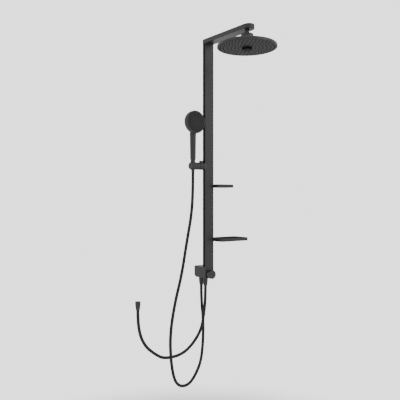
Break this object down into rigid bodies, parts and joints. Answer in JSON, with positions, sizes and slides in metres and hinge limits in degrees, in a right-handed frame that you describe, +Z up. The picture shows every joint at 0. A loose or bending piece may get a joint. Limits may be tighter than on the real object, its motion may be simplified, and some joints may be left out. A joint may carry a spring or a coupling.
{
  "type": "rainfall shower column",
  "caption": "Wall-mounted flat shower column with overhead rain head, sliding handset holder, diverter knob, trays and flexible hoses.",
  "frame": {"origin": "centre of the lower wall plate's back face, on the wall", "axes": "+X to the right seen from the room, +Y into the wall, +Z up"},
  "size_m": [0.58, 0.474, 1.6145],
  "materials": {
    "black_metal": "satin black coating",
    "black_plastic": "fine satin black",
    "dark_rubber": "matt black silicone",
    "glide_plastic": "natural acetal",
    "brass": "machined",
    "steel": "turned and pressed stainless steel",
    "water_pipe": "extruded water pipe",
    "hose_sheath": "smooth black sheath"
  },
  "bodies": {
    "root": {"column_profile": "black_metal", "profile_screws": "steel", "column_water_pipe": "water_pipe", "arm_profile": "black_metal", "arm_rear_cap": "black_metal", "arm_water_pipe": "water_pipe", "corner_elbow": "brass", "arm_outlet_block": "brass", "lower_wall_plate": "steel", "upper_wall_plate": "steel", "bracket_grub_screws": "steel", "upper_bracket_post": "black_metal", "upper_bracket_bolt": "steel", "diverter_body": "black_metal", "diverter_cartridge": "glide_plastic", "cartridge_nut": "brass", "block_hose_nuts": "black_metal", "block_nipples": "black_metal", "hose_washers": "dark_rubber", "block_hose_ferrules": "black_metal", "supply_ferrule": "black_metal", "supply_hose": "hose_sheath", "handset_hose": "hose_sheath"},
    "knob": {"diverter_knob": "black_metal", "diverter_spindle": "brass", "knob_grub_screw": "steel"},
    "supply_coupling": {"supply_nut": "black_metal"},
    "slider": {"slider_housing": "black_plastic", "slider_glide_pad": "glide_plastic", "slider_shoe": "glide_plastic", "slider_shoe_screws": "steel", "holder_pivot_pin": "steel", "holder_friction_washer": "dark_rubber", "slider_button_spring": "steel"},
    "button": {"slider_release_button": "black_plastic"},
    "cup": {"holder_cup": "black_plastic", "holder_end_cap": "black_plastic"},
    "hose_end": {"handset_hose_nut": "black_metal", "handset_hose_washer": "dark_rubber", "handset_hose_ferrule": "black_metal"},
    "handset": {"handset_shell": "black_plastic", "handset_bezel": "black_plastic", "handset_face_plate": "black_plastic", "handset_nozzle_mat": "dark_rubber", "handset_inlet_tube": "black_metal"},
    "neck": {"neck_ball": "black_metal"},
    "ball_seat": {"ball_seat_ring": "glide_plastic"},
    "head": {"swivel_housing": "black_metal", "head_top_shell": "black_metal", "head_face_plate": "black_plastic", "head_nozzle_mat": "dark_rubber", "head_centre_boss": "black_plastic", "head_screws": "steel", "head_seal": "dark_rubber"},
    "upper_shelf": {"upper_tray": "black_plastic", "upper_tray_bracket": "black_metal", "upper_tray_screws": "steel"},
    "lower_shelf": {"lower_tray": "black_plastic", "lower_tray_bracket": "black_metal", "lower_tray_screws": "steel"}
  },
  "joints": [
    {"name": "knob_turn", "type": "hinge", "parent": "root", "child": "knob", "pos_m": [0, -0.085, -0.0085], "axis": [0, 1, 0], "range_deg": [-45, 45]},
    {"name": "supply_nut_spin", "type": "hinge", "parent": "root", "child": "supply_coupling", "pos_m": [-0.372, -0.054, -0.118], "axis": [0, 0, 1], "continuous": true},
    {"name": "slider_slide", "type": "slide", "parent": "root", "child": "slider", "axis": [0, 0, 1], "range_m": [-0.25, 0.2], "deforming": ["handset_hose"]},
    {"name": "button_press", "type": "slide", "parent": "slider", "child": "button", "axis": [0, 0, 1], "range_m": [-0.004, 0], "stiffness_N_per_m": 900, "springref_m": 0.004, "deforming": ["slider_button_spring"]},
    {"name": "cup_tilt", "type": "hinge", "parent": "slider", "child": "cup", "pos_m": [-0.06, -0.075, 0.4975], "axis": [1, 0, 0], "range_deg": [-8, 40]},
    {"name": "handset_lift", "type": "slide", "parent": "cup", "child": "hose_end", "axis": [0, 0, 1], "range_m": [0, 0.06]},
    {"name": "handset_spin", "type": "hinge", "parent": "hose_end", "child": "handset", "pos_m": [-0.09, -0.075, 0.517], "axis": [0, 0, 1], "continuous": true},
    {"name": "neck_spin", "type": "hinge", "parent": "root", "child": "neck", "pos_m": [0, -0.344, 1.079], "axis": [0, 0, 1], "range_deg": [-180, 180]},
    {"name": "head_tilt_x", "type": "hinge", "parent": "neck", "child": "ball_seat", "pos_m": [0, -0.344, 1.04], "axis": [1, 0, 0], "range_deg": [-10, 10]},
    {"name": "head_tilt_y", "type": "hinge", "parent": "ball_seat", "child": "head", "pos_m": [0, -0.344, 1.04], "axis": [0, 1, 0], "range_deg": [-10, 10]},
    {"name": "upper_shelf_slide", "type": "slide", "parent": "root", "child": "upper_shelf", "axis": [0, 0, 1], "range_m": [-0.1, 0.3]},
    {"name": "lower_shelf_slide", "type": "slide", "parent": "root", "child": "lower_shelf", "axis": [0, 0, 1], "range_m": [-0.08, 0.12]}
  ]
}
